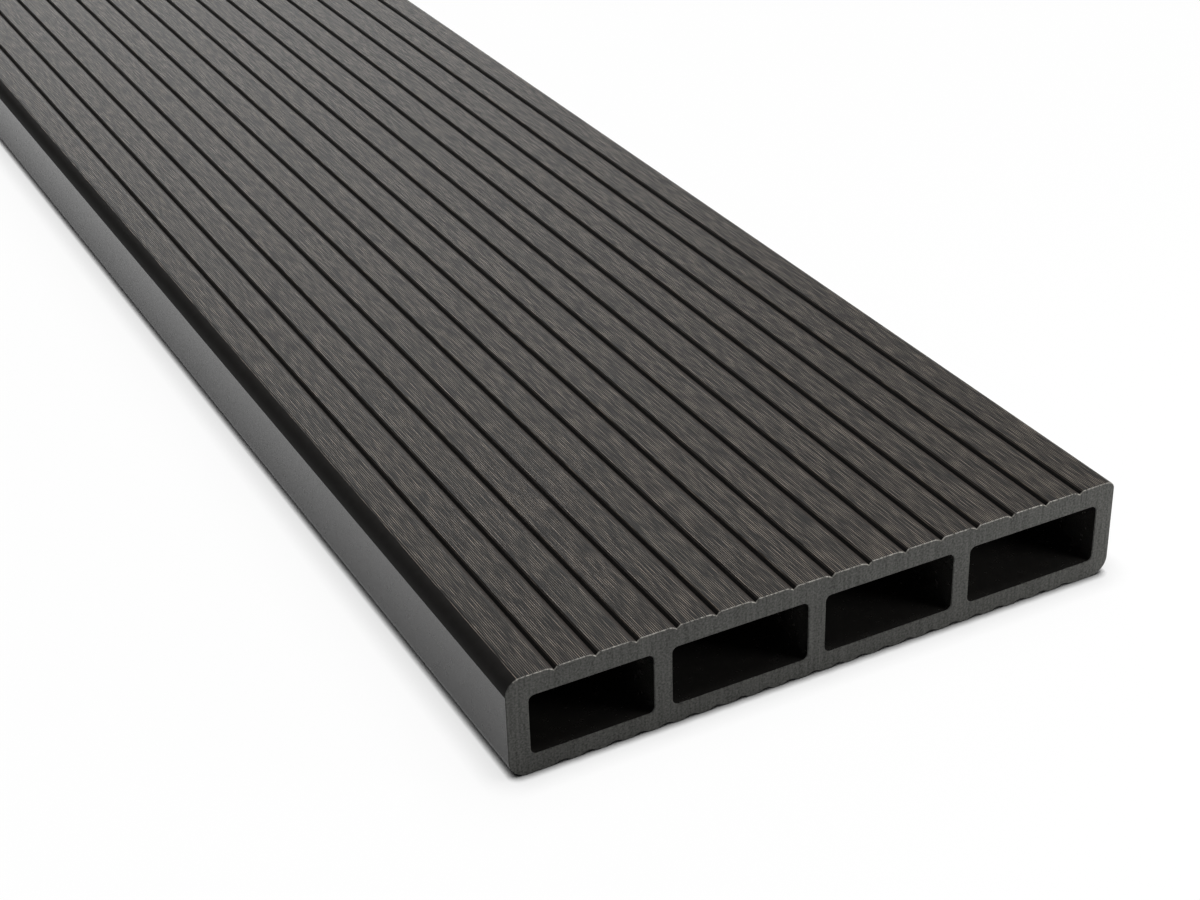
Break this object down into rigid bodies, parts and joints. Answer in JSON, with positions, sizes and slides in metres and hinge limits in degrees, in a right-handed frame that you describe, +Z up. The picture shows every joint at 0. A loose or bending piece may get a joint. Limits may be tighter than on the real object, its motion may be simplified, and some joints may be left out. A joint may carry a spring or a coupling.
{
  "type": "composite fence board",
  "caption": "Long flat hollow board with a grooved, brushed face, a waved underside and plain square-sawn ends.",
  "frame": {"origin": "middle of the underside, on the plane that the board lies on", "axes": "+X across the width, +Y along the length, +Z up out of the grooved face"},
  "size_m": [0.15, 1.8, 0.024],
  "materials": {
    "composite": "matte wood-plastic composite: brushed on the ribs of the face, smooth from the die elsewhere, sawn at the ends"
  },
  "bodies": {
    "root": {"board": "composite"}
  },
  "joints": []
}
